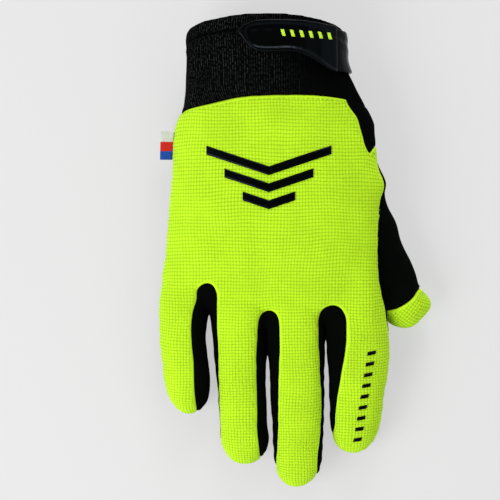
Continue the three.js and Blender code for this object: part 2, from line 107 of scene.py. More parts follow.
# Places where a panel reaches further over its neighbours, in millimetres: place, reach each
# way, amount
SEAM_NUDGES = (
    ("gusset_little_ring", (-48.5, -19), (4, 4), 1.4),
    ("gusset_little_ring", (-51, -30), (5, 9), 1.5),
    ("thumb_tip", (58.5, -25), (10, 8), 2.2),
    ("thumb_tip", (63, -20), (5, 5), 1.4),
    ("wrist_gusset", (28, 74), (7, 12), 0.9),
    ("wrist_gusset", (37, 51), (1.8, 4), 1.5),
    ("back_panel", (41, 50), (2.6, 5), 5),
    ("back_panel", (42.5, 23), (3, 9), 1.4),
    ("palm_panel", (43.5, 43), (6, 11), 1.9),
    ("palm_panel", (-67, -25), (12, 14), 1.6),
    ("cuff", (-44, 73), (18, 9), 2.2),
    ("cuff", (-12, 78), (18, 6), 0.5),
    ("back_panel", (25, -55), (4, 34), 0.9),
    ("gusset_middle_index", (12.5, -33), (4, 7), 0.9),
)
# Places where the cloth is pushed sideways, in millimetres: place, reach each way, move
SHAPE_NUDGES = (
    ((-38.5, -46), (5, 22), (-1.2, 0)),
    ((-9.5, -74), (5, 25), (-1.0, 0)),
    ((20, -67), (5, 22), (-1.0, 0)),
    ((-44, -30), (4, 7), (-0.9, 0)),
    ((-67, -20), (9, 40), (-0.5, 0)),
    ((68, -25), (4.5, 4.5), (1.2, 0.2)),
    ((64.5, -34), (5, 5), (-1.4, 1.1)),
    ((48.5, 23), (8, 8), (-1.9, -0.4)),
    ((55, 6), (9, 10), (-1.6, -0.4)),
    ((44, 36), (6, 6), (1.6, 0.4)),
    ((44.5, 43), (5, 8), (-0.7, 0)),
    ((63.5, -18), (4, 5), (-1.2, 0)),
    ((-44, 115), (16, 9), (0, -1.1)),
    ((16, 115), (12, 7), (0, -0.9)),
    ((29, 94), (6, 9), (-0.8, 0)),
    ((-56, 80), (9, 18), (-0.5, 0)),
    ((-62, 45), (12, 34), (-0.6, 0)),
    ((-61, -75), (6, 8), (0.9, 0.4)),
    ((22, -97), (8, 7), (-0.5, -0.7)),
    ((45, -74), (5, 20), (-0.5, 0)),
    ((-28, -104), (8, 6), (-0.3, -0.5)),
    ((17, 94), (11, 6), (0, -2.4)),
    ((-62, 54), (6, 8), (-0.15, 0.95)),
    ((-62, 63), (8, 5), (-0.5, 0)),
)
SEAM_LAYER = "seam"  # each point's distance to the nearest seam
EDGE_LAYER = "edge"  # how sharply a trim bends outwards, 0 to 1
CLOTH_MAP = "cloth"  # the cloth laid flat, in metres
# The test for the outside: its ways, how far off the wall it starts in millimetres, and how
# far a way may lean into the wall
WAYS_OUT = ((0, 0, 1), (0, 0, -1), (1, 0, 0), (-1, 0, 0), (0, -1, 0))
OFF_WALL = 0.2
LEAST_OUTWARD = -0.3

# Raised rubber pieces
TRIM_VOXEL = 0.4 * MM
TRIM_ROUNDING = 24
FOLLOWED_POINTS = 6  # points of the skin that a trim point follows
FOLLOW_SOFTNESS = 0.2 * MM
SHARP_BEND = 0.1 * MM  # a point this far out of its neighbours' middle is a sharp edge

# Rows of slanted bars, printed along the index finger and moulded on the strap's tab: start,
# turn, size of a bar, pitch and count
FINGER_BARS = ((31.2 * MM, -94 * MM), math.radians(8.9), (4.2 * MM, 2.0 * MM), 5.5 * MM, 9)
TAB_BARS = ((-6.2 * MM, 107.6 * MM), math.radians(93), (3.4 * MM, 1.8 * MM), 4.6 * MM, 6)
MARK_LEAN = 0.35
MARK_STEPS = (6, 6)
MARK_SKY = 0.1  # marks are dropped onto the glove from this height
MARK_RIM = -0.15 * MM  # a mark's rim is sunk into the surface
ON_RIM = 1e-4
TAB_MARK_LIFT = 0.3 * MM

# Chevrons printed on the back of the hand
CHEVRONS = ("print_chevron_1", "print_chevron_2", "print_chevron_3")
CHEVRON_STROKE = 4.6 * MM
CHEVRON_STEPS = (40, 6)
PRINT_LIFT = 0.45 * MM

# Woven label
LABEL_VOXEL = 0.3 * MM
LABEL_ROUNDING = 4
LABEL_WEAVE = 0.5 * MM
BAND_BLUR = 0.1 * MM

# Cloth maps: the weave is longer over the hand than on the fingers
LEVEL = 0.9
HAND_STRETCH = 0.89
FINGER_SHRINK = 0.19
KNUCKLES = -25 * MM
KNUCKLE_WIDTH = 12 * MM
RING_STEPS = 180
# Painted shade: the cuff's ribs are painted darker from left to right, as if the light fell from
# the left.
RIB_SHADE = (-20 * MM, 9 * MM, 1, 0.05)  # the ribs darken from one place to the other
THUMB_TURN = math.radians(35)  # the thumb tip's weave runs across the thumb

# Grid weave and knit, in shares of half a cell: where a line starts and where it is full
WEAVE_WANDER = 6 * MM  # how far the weave's lines stray
WEAVE_UPRIGHT = (0.45, 0.95)
WEAVE_LEVEL = (0.4, 0.95)
WEAVE_TONES = (0.34, 0.42, 0.24)  # of upright lines, level lines and their crossings
DITCHES = (2.5, 2)  # how steep the sides of the upright and level lines are
KNIT_RIB = (0.1, 0.58)
KNIT_BREAKS = (0.42, 0.6, 0.02, 1)  # noise values, and how much of the ribs shows there
KNIT_BREAK_SCALE = 700
LOOP_PITCH = 0.8  # of the knit's loops along a rib, in rib pitches
LOOP_HEIGHT = 0.35
SWING = (0.3, 0.7)  # between these lies most of a noise value
CLOUD_SCALE = 55

# Stitches: half length, half width and half height
STITCH = (0.85 * MM, 0.26 * MM, 0.24 * MM)
STITCH_SIDES = (6, 5)
STITCH_SPAN = 1.2 * MM  # a stitch takes its direction from this far on both sides
STITCH_LOWEST = 2 * MM  # no stitches are shown nearer the table
STITCH_LIFT = 0.05 * MM
FEWEST_STITCHES = 3
# Name, slot, colour and rows. A row runs beside a seam: panel, neighbour, distance
STITCHES = (
    ("lime_stitches", "lime_fabric", (0.42, 0.72, 0.02), (
        ("back_panel", "cuff", 1.5 * MM), ("back_panel", "wrist_gusset", 1.5 * MM))),
    ("black_stitches", "black_stretch", (0.0035, 0.004, 0.004), (
        ("cuff", "cuff_binding", 1.3 * MM), ("thumb_panel", "palm_panel", 1.4 * MM),
        ("thumb_panel", "thumb_tip", 1.4 * MM), ("palm_panel", "cuff", 1.5 * MM))),
)

# Stage
FLOOR_SIZE = 3
FLOOR_DROP = 0.2 * MM
FLOOR_COLOUR = (0.24, 0.24, 0.24)
FLOOR_GLOW = 0.535
WORLD_SIDES = 0.8
WORLD_TOP = 0.03
WORLD_FADE = (0.55, 0.98)  # heights in the sky
# Name, place, size and power of each light
LIGHTS = (
    ("left_softbox", (-0.6, -0.4, 0.6), 0.6, 6.4),
    ("right_softbox", (0.8, -0.3, 0.7), 0.7, 1),
    ("top_strip", (0.1, 1.0, 0.45), 0.4, 5),
)

# Camera: straight above, with the photograph's scale at the height of the back of the hand
PHOTO_PIXELS = 500
PHOTO_SIDE = 0.25  # metres across the photograph
PHOTO_PIXEL = PHOTO_SIDE / PHOTO_PIXELS
GLOVE_MIDDLE = (295, 251.5)  # of the glove's box, in pixels of the photograph
LENS = 0.18
SENSOR = 0.036
SCALE_HEIGHT = 18 * MM


def length(name, description, default, low, high):
    return FloatProperty(
        name=name, description=description, default=default, min=low, max=high, unit="LENGTH")


def tint(name, description, default):
    return FloatVectorProperty(
        name=name, description=description, default=default, min=0, max=1, size=3,
        subtype="COLOR")


class GloveSizes(bpy.types.PropertyGroup):
    """Sizes of the glove's cloth, seams and stitches"""
    voxel: length("Skin fineness", "Spacing of the skin's points", 0.6 * MM, 0.4 * MM, 2 * MM)
    softening: IntProperty(
        name="Skin softening", description="How often the skin's points are averaged",
        default=80, min=0, max=200)
    seam_depth: length("Seam depth", "Depth of the valley at a sewn seam", 0.7 * MM, 0, 2 * MM)
    seam_width: length(
        "Seam width", "Width of the valley on each side of a seam", 1.7 * MM, 0.5 * MM, 4 * MM)
    weave_pitch: length(
        "Weave pitch", "Size of a cell of the back panel's grid weave", 1.55 * MM, 0.5 * MM, 4 * MM)
    rib_pitch: length(
        "Rib pitch", "Spacing of the ribs of the knitted cuff", 1.15 * MM, 0.5 * MM, 4 * MM)
    stitch_pitch: length("Stitch pitch", "Spacing of the stitches", 2.4 * MM, 1 * MM, 6 * MM)


class GloveColours(bpy.types.PropertyGroup):
    """Colours of the glove's cloth and rubber"""
    lime: tint("Lime", "Raised cells of the grid weave", (0.57, 0.93, 0.022))
    lime_line: tint("Lime line", "Sunken lines of the grid weave", (0.25, 0.55, 0.001))
    black: tint("Black", "Suede, stretch cloth and rubber", (0.0013, 0.0017, 0.0014))
    label_white: tint("Label white", "Band of the label nearest the cuff", (0.72, 0.74, 0.70))
    label_red: tint("Label red", "Middle band of the label", (0.7, 0.012, 0.003))
    label_blue: tint("Label blue", "Band of the label nearest the fingers", (0.004, 0.07, 0.42))
    # The knit colour is a painted highlight: it turns the cuff's ribs grey and lightens the
    # rubber's sharp edges.
    knit: tint("Knit", "Ribs of the cuff", (0.04, 0.044, 0.042))


def sizes():
    return bpy.context.scene.glove_sizes


def colours():
    return bpy.context.scene.glove_colours


def new_object(name, mesh):
    """A shown object with its mesh in place."""
    obj = bpy.data.objects.new(name, mesh)
    bpy.context.scene.collection.objects.link(obj)
    return obj


def mesh_of(bm, name):
    mesh = bpy.data.meshes.new(name)
    bm.to_mesh(mesh)
    mesh.shade_smooth()
    return mesh


def finish_piece(name, mesh, material, slot, *nodes):
    """Makes a piece of the glove that rides on its body and stands for CAD nodes."""
    piece = new_object(name, mesh)
    mesh.materials.clear()
    mesh.materials.append(material)
    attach(piece, BODY)
    if nodes:
        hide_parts(*nodes)


def cad_copy(names):
    """Copies of CAD nodes as one mesh, with each node's loose triangles merged."""
    bm = bmesh.new()
    for name in names:
        bm.from_mesh(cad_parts[name].data)
    bmesh.ops.remove_doubles(bm, verts=bm.verts, dist=MERGE)
    return bm


def compacted(bm):
    """The same mesh in fresh memory, so that points made later come last."""
    packed = bmesh.new()
    packed.from_mesh(mesh_of(bm, "packed"))
    bm.free()
    return packed


def points_of(mesh):
    points = np.empty(len(mesh.vertices) * 3)
    mesh.vertices.foreach_get("co", points)
    return points.reshape(-1, 3)


def evaluated_mesh(obj):
    """The mesh that an object's modifiers give."""
    depsgraph = bpy.context.evaluated_depsgraph_get()
    depsgraph.update()
    return bpy.data.meshes.new_from_object(obj.evaluated_get(depsgraph))


def even_and_soft(bm, voxel, softening):
    """An even fine mesh of a closed solid, and where its points lie once they are softened."""
    obj = new_object("raw", mesh_of(bm, "raw"))
    remesh = obj.modifiers.new("Even", "REMESH")
    remesh.mode = "VOXEL"
    remesh.voxel_size = voxel
    even = evaluated_mesh(obj)
    smooth = obj.modifiers.new("Soft", "SMOOTH")
    smooth.factor = 0.5
    smooth.iterations = softening
    soft = points_of(evaluated_mesh(obj))
    bpy.data.objects.remove(obj)
    return even, soft


def sees_out(tree, point, normal):
    """Whether a surface point is outside: one of the ways out is free in front of it."""
    start = point + normal * OFF_WALL * MM
    for way in map(Vector, WAYS_OUT):
        if normal.dot(way) > LEAST_OUTWARD and tree.ray_cast(start, way)[0] is None:
            return True
    return False


@functools.cache
def solid_skin_tree():
    return BVHTree.FromBMesh(cad_copy(SKIN))


def outer_faces(bm):
    """The faces of a skin solid that are on the outside."""
    bm.normal_update()
    tree = solid_skin_tree()
    return {face for face in bm.faces if sees_out(tree, face.calc_center_median(), face.normal)}


def skin_solid():
    """The skin's solids as one mesh. Their hidden inner walls lie deeper, so that the wall is
    nowhere too thin for an even mesh."""
    bm = bmesh.new()
    for node in SKIN:
        part = cad_copy([node])
        if node not in OPEN_ENDS:
            deepen(part)
        bm.from_mesh(mesh_of(part, node))
    turned = Matrix.Translation(PATCH_MIDDLE) @ Matrix.Rotation(PATCH_TURN, 4, "Y")
    bmesh.ops.create_cube(bm, size=1, matrix=turned @ Matrix.Diagonal((*PATCH_SIZE, 1)))
    return bm


def deepen(part):
    """Moves the hidden inner wall of a panel into the glove."""
    outer = outer_faces(part)
    for vert in [vert for vert in part.verts if outer.isdisjoint(vert.link_faces)]:
        vert.co += vert.normal * WALL_SPARE


def ends_of(bm):
    """The two points of each edge."""
    return np.array([[vert.index for vert in edge.verts] for edge in bm.edges])


def averaged(values, ends, times):
    """Values of points, averaged with those of their neighbours. ends lists the edges."""
    count = len(values)
    around = np.maximum(np.bincount(ends.ravel(), minlength=count), 1)
    for _ in range(times):
        total = np.bincount(ends[:, 0], values[ends[:, 1]], count)
        total += np.bincount(ends[:, 1], values[ends[:, 0]], count)
        values = (values + total / around) / 2
    return values


def edge_ends(mesh):
    ends = np.empty(len(mesh.edges) * 2, int)
    mesh.edges.foreach_get("vertices", ends)
    return ends.reshape(-1, 2)


def distances_to(node, points):
    """Distance of each point to a CAD node, up to SEAM_REACH."""
    low, high = (np.array(corner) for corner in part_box(node))
    near = np.all((points > low - SEAM_REACH) & (points < high + SEAM_REACH), axis=1)
    tree = BVHTree.FromBMesh(cad_copy([node]))
    found = np.full(len(points), SEAM_REACH)
    for i in np.flatnonzero(near):
        distance = tree.find_nearest(points[i], SEAM_REACH)[3]
        if distance is not None:
            found[i] = distance
    return found


def cut_seam(bm, apart, column):
    """Cuts the surface along the edge of one panel. apart holds each point's distance to each
    panel; the table comes back with a row for each new point."""
    lead = apart[:, column] - np.delete(apart, column, axis=1).min(axis=1)
    ends = ends_of(bm)
    first, second = lead[ends[:, 0]], lead[ends[:, 1]]
    crossing = np.flatnonzero(first * second < 0)
    shares = first[crossing] / (first[crossing] - second[crossing])
    shares = np.clip(shares, *CUT_SHARES)[:, None]
    bm.edges.ensure_lookup_table()
    edges = [bm.edges[i] for i in crossing]
    made = [
        bmesh.utils.edge_split(edge, edge.verts[0], share)[1]
        for edge, share in zip(edges, shares[:, 0])
    ]
    bm.verts.index_update()
    rows = apart[ends[crossing, 0]] * (1 - shares) + apart[ends[crossing, 1]] * shares
    own = rows[:, column].copy()
    rows[:, column] = np.inf
    rows[np.arange(len(rows)), rows.argmin(axis=1)] = own
    rows[:, column] = own
    bmesh.ops.connect_verts(bm, verts=made)
    return np.vstack([apart, rows])


def nearness(points, place, reach):
    """1 at a place seen from above, fading to 0 past its reach each way, both in millimetres."""
    away = (points[:, :2] - np.multiply(place, MM)) / np.multiply(reach, MM)
    return np.exp(-(away**2).sum(axis=1))


def ridge(value, middle, width):
    return np.exp(-(((value - middle) / width) ** 2))


def cloth_folds(points):
    """How far the worn cloth stands off its smooth form at each point."""
    x, y = points[:, 0], points[:, 1]
    on_fingers = 1 / (1 + np.exp((y - FINGER_ROOTS[0]) / FINGER_ROOTS[1]))
    lift = np.empty(len(points))
    for i, point in enumerate(points):
        across = noise.fractal(Vector(point * FINGER_FOLDS), 1.0, 2.0, 2)
        broad = noise.fractal(Vector(point * HAND_FOLDS), 1.0, 2.0, 3)
        calm = 1 - FINGER_CALM * on_fingers[i]
        lift[i] = across * FINGER_FOLD_HEIGHT * on_fingers[i] + broad * HAND_FOLD_HEIGHT * calm
    knuckles = ridge(y, *KNUCKLE_ROW) * KNUCKLE_SHARE
    for middle in KNUCKLE_MIDDLES:
        knuckles += KNUCKLE_SHARE * ridge(y, *KNUCKLE_TOPS) * ridge(x, middle, KNUCKLE_SIZE)
    web = ridge(x, *WEB_PLACE) * ridge(y + WEB_SLOPE * x, *WEB_LINE)
    return (lift * FOLD_DEPTH + knuckles * KNUCKLE_HEIGHT - web * WEB_DEPTH) * MM


class Skin:
    """The glove's outer surface, cut along its seams."""

    def __init__(self):
        solid = skin_solid()
        even, soft = even_and_soft(solid, sizes().voxel, sizes().softening)
        points = points_of(even)
        apart = np.stack([distances_to(node, points) for node in SKIN], axis=1)
        tree = BVHTree.FromBMesh(solid)
        outer = np.array([sees_out(tree, vertex.co, vertex.normal) for vertex in even.vertices])
        outer = averaged(outer.astype(float), edge_ends(even), OUTSIDE_SOFTENING) > 0.5
        shown = outer | (apart.argmin(axis=1) >= SKIN.index(OPEN_ENDS[0]))
        even.vertices.foreach_set("co", soft.ravel())
        whole = bmesh.new()
        whole.from_mesh(even)
        hidden = [vert for vert, seen in zip(whole.verts, shown) if not seen]
        bmesh.ops.delete(whole, geom=hidden, context="VERTS")
        self.bm = compacted(whole)
        ends = ends_of(self.bm)
        self.solid_points = points[shown]
        softened = [averaged(column, ends, SEAM_SOFTENING) for column in apart[shown].T]
        apart = np.stack(softened, axis=1)
        for node, place, reach, amount in SEAM_NUDGES:
            apart[:, SKIN.index(node)] -= amount * MM * nearness(self.solid_points, place, reach)
        for node in FINGER_GUSSETS:
            apart[:, SKIN.index(node)] -= GUSSET_SPREAD
        for column in range(1, len(SKIN)):
            apart = cut_seam(self.bm, apart, column)
        self.apart = apart
        self.settle()
        self.mark_panels()
        self.ends = ends_of(self.bm)
        layer = self.bm.verts.layers.float.new(SEAM_LAYER)
        for vert, distance in zip(self.bm.verts, self.seam_distance()):
            vert[layer] = distance

    def seam_distance(self):
        """Each point's distance to the nearest seam."""
        nearest = np.partition(self.apart, 1, axis=1)
        return nearest[:, 1] - nearest[:, 0]

    def settle(self):
        """Moves the points into the folds, puckers and seam valleys of sewn cloth."""
        self.bm.normal_update()
        points = np.array([vert.co for vert in self.bm.verts])
        normals = np.array([vert.normal for vert in self.bm.verts])
        seam = self.seam_distance()
        valley = np.clip(1 - seam / sizes().seam_width, 0, 1) ** 2 * sizes().seam_depth
        along = points[:, 0] + points[:, 1]
        waves = np.sin(along / sizes().stitch_pitch * PUCKER_TURN) * PUCKER_HEIGHT
        puckers = waves * ridge(seam, *PUCKERS)
        lift = FILLING + cloth_folds(points) + puckers - valley
        above_table = np.clip(points[:, 2] / TABLE_FADE, 0, 1)
        placed = points + normals * (lift * above_table)[:, None]
        for place, reach, move in SHAPE_NUDGES:
            placed[:, :2] += nearness(points, place, reach)[:, None] * np.multiply(move, MM)
        placed[:, 2] = np.maximum(placed[:, 2], 0)
        for vert, place in zip(self.bm.verts, placed):
            vert.co = place
        bridged = placed + normals * (valley * above_table)[:, None]
        self.shifts = bridged[: len(self.solid_points)] - self.solid_points
        self.bm.normal_update()

    def mark_panels(self):
        for face in self.bm.faces:
            rows = [vert.index for vert in face.verts]
            face.material_index = int(self.apart[rows].mean(axis=0).argmin())

    def seam_path(self, node, neighbour, offset):
        """Points of the skin in order along a seam, at a distance from it inside one panel."""
        lead = self.apart[:, SKIN.index(neighbour)] - self.apart[:, SKIN.index(node)] - offset
        known = self.apart[:, SKIN.index(neighbour)] < SEAM_REACH
        first, second = self.ends.T
        crossing = (lead[first] * lead[second] < 0) & known[first] & known[second]
        self.bm.edges.ensure_lookup_table()
        next_to = {}
        by_face = {}
        for i in np.flatnonzero(crossing):
            for face in self.bm.edges[i].link_faces:
                if face.material_index == SKIN.index(node):
                    by_face.setdefault(face.index, []).append(i)
        for pair in by_face.values():
            if len(pair) == 2:
                next_to.setdefault(pair[0], []).append(pair[1])
                next_to.setdefault(pair[1], []).append(pair[0])
        return [self.crossing_points(path, lead) for path in chains(next_to)]

    def crossing_points(self, path, lead):
        """Where a path crosses its edges: places and normals, one row for each edge."""
        rows = []
        for i in path:
            one, two = self.bm.edges[i].verts
            share = lead[one.index] / (lead[one.index] - lead[two.index])
            rows.append((*one.co.lerp(two.co, share), *one.normal.lerp(two.normal, share)))
        return np.array(rows)

    def panel(self, node):
        """The outside of one panel."""
        bm = self.bm.copy()
        index = SKIN.index(node)
        others = [face for face in bm.faces if face.material_index != index]
        bmesh.ops.delete(bm, geom=others, context="FACES")
        for face in bm.faces:
            face.material_index = 0
        return bm


def chains(next_to):
    """Orders linked items into paths, longest first."""
    left = set(next_to)
    paths = []
    while left:
        ends = [i for i in left if len(next_to[i]) == 1]
        at = min(ends) if ends else min(left)
        path = []
        while at is not None:
            path.append(at)
            left.discard(at)
            at = next((i for i in next_to[at] if i in left), None)
        paths.append(path)
    return sorted(paths, key=len, reverse=True)


@functools.cache
def skin():
    return Skin()


def add_inside(bm, node):
    """Adds the inner wall of a panel, from its solid."""
    inside = cad_copy([node])
    bmesh.ops.delete(inside, geom=list(outer_faces(inside)), context="FACES")
    bm.from_mesh(mesh_of(inside, "inside"))


@functools.cache
def skin_points():
    """The places of the skin's points on the solids, for finding the nearest ones."""
    tree = KDTree(len(skin().solid_points))
    for i, point in enumerate(skin().solid_points):
        tree.insert(point, i)
    tree.balance()
    return tree


def follow_skin(bm):
    """Moves a piece that lies on the solids as the skin under it has moved."""
    shifts = skin().shifts
    for vert in bm.verts:
        near = skin_points().find_n(vert.co, FOLLOWED_POINTS)
        weights = np.array([1 / (distance + FOLLOW_SOFTNESS) for _, _, distance in near])
        rows = [index for _, index, _ in near]
        vert.co += Vector(weights @ shifts[rows] / weights.sum())


def rounded_trim(node, voxel, rounding):
    """A CAD node as a fine solid with soft edges, lying on the skin."""
    even, soft = even_and_soft(cad_copy([node]), voxel, rounding)
    even.vertices.foreach_set("co", soft.ravel())
    bm = bmesh.new()
    bm.from_mesh(even)
    follow_skin(bm)
    return bm


def add_node(tree, kind, inputs=None, **settings):
    """Adds a shader node. Its inputs are values, or the sockets that feed them."""
    node = tree.nodes.new("ShaderNode" + kind)
    for setting, value in settings.items():
        setattr(node, setting, value)
    for socket, value in (inputs or {}).items():
        if isinstance(value, bpy.types.NodeSocket):
            tree.links.new(value, node.inputs[socket])
        else:
            node.inputs[socket].default_value = value
    return node


def calc(tree, operation, *values):
    return add_node(tree, "Math", dict(enumerate(values)), operation=operation).outputs[0]


def product(tree, *values):
    return functools.reduce(functools.partial(calc, tree, "MULTIPLY"), values)


def plus(tree, *values):
    return functools.reduce(functools.partial(calc, tree, "ADD"), values)


def split(tree, vector):
    return add_node(tree, "SeparateXYZ", {0: vector}).outputs


def move(tree, operation, inputs):
    """A place or direction worked out from others."""
    return add_node(tree, "VectorMath", inputs, operation=operation).outputs[0]


def ramp(tree, value, start, end, low=0.0, high=1.0):
    """A value that goes smoothly from low to high while another goes from start to end."""
    inputs = {"Value": value, "From Min": start, "From Max": end, "To Min": low, "To Max": high}
    return add_node(tree, "MapRange", inputs, interpolation_type="SMOOTHSTEP").outputs[0]


def blend(tree, share, first, second):
    """A colour between two others."""
    inputs = {0: share, 6: colour4(first), 7: colour4(second)}
    return add_node(tree, "Mix", inputs, data_type="RGBA").outputs[2]


def colour4(colour):
    return colour if isinstance(colour, bpy.types.NodeSocket) else (*colour, 1)


def paint(tree, shader, colour, factor):
    """Gives a shader a colour times a factor."""
    inputs = {"Color": colour4(colour), "Value": factor}
    shade = add_node(tree, "HueSaturation", inputs).outputs[0]
    tree.links.new(shade, shader.inputs["Base Color"])


def new_group(name, inputs, outputs):
    """A node group with named sockets. Gives its tree, its input sockets and its output sockets."""
    tree = bpy.data.node_groups.new(name, "ShaderNodeTree")
    for label, kind in inputs:
        tree.interface.new_socket(label, in_out="INPUT", socket_type=kind)
    for label in outputs:
        tree.interface.new_socket(label, in_out="OUTPUT", socket_type="NodeSocketFloat")
    start = tree.nodes.new("NodeGroupInput")
    end = tree.nodes.new("NodeGroupOutput")
    return tree, start.outputs, end.inputs


def from_cell_middle(tree, value, pitch):
    """0 at the middle of each cell and 1 at its edges."""
    cells = calc(tree, "DIVIDE", value, pitch)
    inside = calc(tree, "SUBTRACT", calc(tree, "FRACT", cells), 0.5)
    return product(tree, calc(tree, "ABSOLUTE", inside), 2)


PITCHED = (("Vector", "NodeSocketVector"), ("Pitch", "NodeSocketFloat"))


@functools.cache
def grid_weave():
    """Raised square cells between sunken lines, darkest where the lines cross."""
    tree, given, result = new_group("grid_weave", PITCHED, ("Lines", "Height"))
    wander = add_node(tree, "TexNoise", {"Vector": given["Vector"], "Scale": 20, "Detail": 2})
    shift = move(tree, "SUBTRACT", {0: wander.outputs["Color"], 1: (0.5, 0.5, 0.5)})
    pushed = move(tree, "SCALE", {0: shift, "Scale": WEAVE_WANDER})
    parts = split(tree, move(tree, "ADD", {0: given["Vector"], 1: pushed}))
    across = from_cell_middle(tree, parts[0], given["Pitch"])
    along = from_cell_middle(tree, parts[1], given["Pitch"])
    upright = ramp(tree, across, *WEAVE_UPRIGHT)
    level = ramp(tree, along, *WEAVE_LEVEL)
    dots = product(tree, upright, level)
    drawn = zip((upright, level, dots), WEAVE_TONES)
    tones = (product(tree, line, tone) for line, tone in drawn)
    tree.links.new(plus(tree, *tones), result["Lines"])
    sides = zip((across, along), DITCHES)
    ditch = calc(tree, "MAXIMUM", *(calc(tree, "POWER", part, steep) for part, steep in sides))
    tree.links.new(calc(tree, "SUBTRACT", 1, ditch), result["Height"])
    return tree


@functools.cache
def knit_ribs():
    """Upright ribs of knitted loops."""
    tree, given, result = new_group("knit_ribs", PITCHED, ("Ribs", "Height"))
    parts = split(tree, given["Vector"])
    across = from_cell_middle(tree, parts[0], given["Pitch"])
    loop_pitch = product(tree, given["Pitch"], LOOP_PITCH)
    loops = from_cell_middle(tree, parts[1], loop_pitch)
    rib = calc(tree, "SUBTRACT", 1, ramp(tree, across, *KNIT_RIB))
    spots = {"Vector": given["Vector"], "Scale": KNIT_BREAK_SCALE, "Detail": 2}
    broken = add_node(tree, "TexNoise", spots).outputs[0]
    shown = product(tree, rib, ramp(tree, broken, *KNIT_BREAKS))
    tree.links.new(shown, result["Ribs"])
    loop_tops = product(tree, calc(tree, "SUBTRACT", 1, loops), LOOP_HEIGHT)
    tree.links.new(plus(tree, rib, loop_tops), result["Height"])
    return tree


@functools.cache
def cloth_grain():
    """Fine fibres, and broad clouds of wear."""
    tree, given, result = new_group("cloth_grain", PITCHED, ("Fibres", "Clouds"))
    fineness = calc(tree, "DIVIDE", 1, given["Pitch"])
    place = given["Vector"]
    fibres = {"Vector": place, "Scale": fineness, "Detail": 4, "Roughness": 0.7}
    tree.links.new(add_node(tree, "TexNoise", fibres).outputs[0], result["Fibres"])
    clouds = {"Vector": place, "Scale": CLOUD_SCALE, "Detail": 3}
    tree.links.new(add_node(tree, "TexNoise", clouds).outputs[0], result["Clouds"])
    return tree


def use_group(tree, group, vector, pitch):
    node = tree.nodes.new("ShaderNodeGroup")
    node.node_tree = group
    tree.links.new(vector, node.inputs["Vector"])
    node.inputs["Pitch"].default_value = pitch
    return node.outputs


def new_material(name, **finish):
    """A material, its tree and its shader, with the finish that is the same all over it."""
    material = bpy.data.materials.new(name)
    material.use_nodes = True
    shader = material.node_tree.nodes["Principled BSDF"]
    for socket, value in finish.items():
        shader.inputs[socket.replace("_", " ")].default_value = value
    return material, material.node_tree, shader


def add_bump(tree, shader, height, depth):
    inputs = {"Height": height, "Distance": depth}
    tree.links.new(add_node(tree, "Bump", inputs).outputs[0], shader.inputs["Normal"])


def grained(name, size, depth, roughness, **finish):
    """A new material with fine bumps, and a roughness that varies in clouds."""
    material, tree, shader = new_material(name, **finish)
    grain = use_group(tree, cloth_grain(), in_place(tree), size)
    dull = ramp(tree, grain["Clouds"], *SWING, *roughness)
    tree.links.new(dull, shader.inputs["Roughness"])
    add_bump(tree, shader, grain["Fibres"], depth)
    return material, tree, shader, grain


def in_place(tree):
    return add_node(tree, "TexCoord").outputs["Object"]


def on_cloth(tree):
    return add_node(tree, "UVMap", uv_map=CLOTH_MAP).outputs[0]


def attribute(tree, name):
    return add_node(tree, "Attribute", attribute_name=name).outputs["Fac"]


@functools.cache
def lime_fabric():
    """Bright grid weave, with a plain turned edge along its seams."""
    material, tree, shader = new_material(
        "lime_fabric", Roughness=0.75, Specular_IOR_Level=0.08, Sheen_Weight=0.03,
        Sheen_Roughness=0.4)
    seam = attribute(tree, SEAM_LAYER)
    weave = use_group(tree, grid_weave(), on_cloth(tree), sizes().weave_pitch)
    grain = use_group(tree, cloth_grain(), in_place(tree), 0.35 * MM)
    open_cloth = ramp(tree, seam, 0.7 * MM, 2.0 * MM)
    lines = product(tree, weave["Lines"], open_cloth)
    colour = blend(tree, lines, colours().lime, colours().lime_line)
    worn = ramp(tree, grain["Clouds"], *SWING, 0.93, 1.03)
    fibres = ramp(tree, grain["Fibres"], *SWING, 0.94, 1.04)
    # Painted shade in the seam's valley: the cloth is painted darker within half a millimetre of a
    # seam.
    seam_shade = ramp(tree, seam, 0, 0.5 * MM, 0.55, 1)
    light = product(tree, worn, fibres, seam_shade)
    paint(tree, shader, colour, light)
    cells = product(tree, weave["Height"], open_cloth)
    fluff = product(tree, grain["Fibres"], 0.3)
    add_bump(tree, shader, plus(tree, cells, fluff), 0.25 * MM)
    return material


def black_cloth(name, grain_size, nap, depth):
    """Matt black cloth. nap is how far its fibres lighten it."""
    material, tree, shader, grain = grained(
        name, grain_size, depth, (0.8, 0.95), Specular_IOR_Level=0.005, Sheen_Weight=0.002,
        Sheen_Roughness=0.4)
    # Painted shade in the seam's valley: the cloth is painted darker within 1.2 mm of a seam.
    seam = ramp(tree, attribute(tree, SEAM_LAYER), 0, 1.2 * MM, 0.4, 1)
    fibres = product(tree, ramp(tree, grain["Fibres"], 0.35, 0.75), nap)
    worn = product(tree, ramp(tree, grain["Clouds"], 0.4, 0.75), nap * 0.6)
    light = product(tree, plus(tree, fibres, worn, 1), seam)
    paint(tree, shader, colours().black, light)
    return material


@functools.cache
def black_suede():
    return black_cloth("black_suede", 0.5 * MM, 1.6, 0.3 * MM)


@functools.cache
def black_stretch():
    return black_cloth("black_stretch", 0.25 * MM, 0.7, 0.12 * MM)


